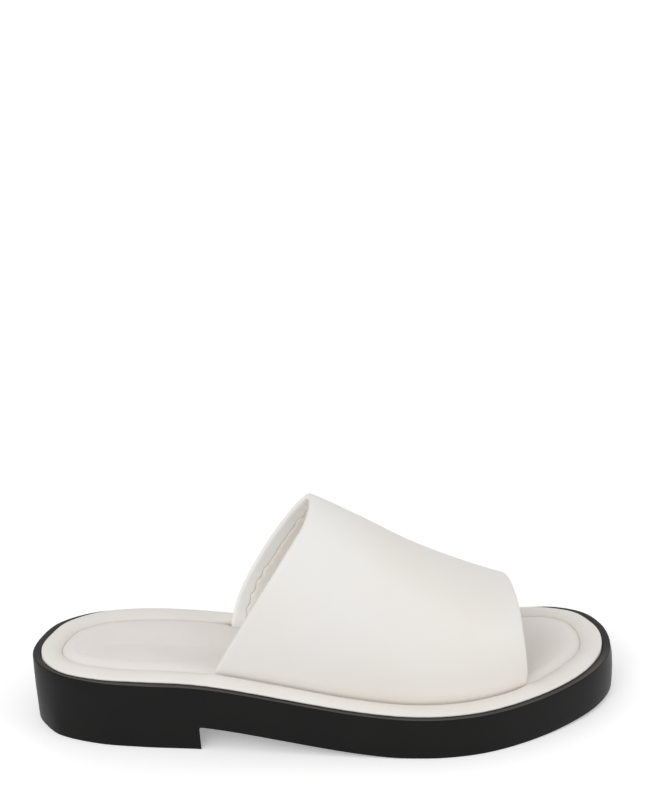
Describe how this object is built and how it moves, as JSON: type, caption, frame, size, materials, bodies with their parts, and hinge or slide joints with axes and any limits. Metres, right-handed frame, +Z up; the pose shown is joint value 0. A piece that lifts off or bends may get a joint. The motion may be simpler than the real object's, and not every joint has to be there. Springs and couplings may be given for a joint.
{
  "type": "slide sandal",
  "caption": "Slide sandal for the right foot: wide plain white leather band over a padded white footbed, on a black moulded platform sole with a low block heel.",
  "frame": {"origin": "on the floor, under the centre of the sandal's bounding box", "axes": "+X from heel to toe, +Y towards the inner side of the foot (the wearer's left), +Z up"},
  "size_m": [0.2652, 0.097, 0.1066],
  "materials": {
    "black_sole": "satin",
    "white_leather": "smooth satin",
    "white_insole": "soft matt"
  },
  "bodies": {
    "root": {"sole": "black_sole", "footbed_border": "white_leather", "insole": "white_insole", "upper": "white_leather"}
  },
  "joints": []
}
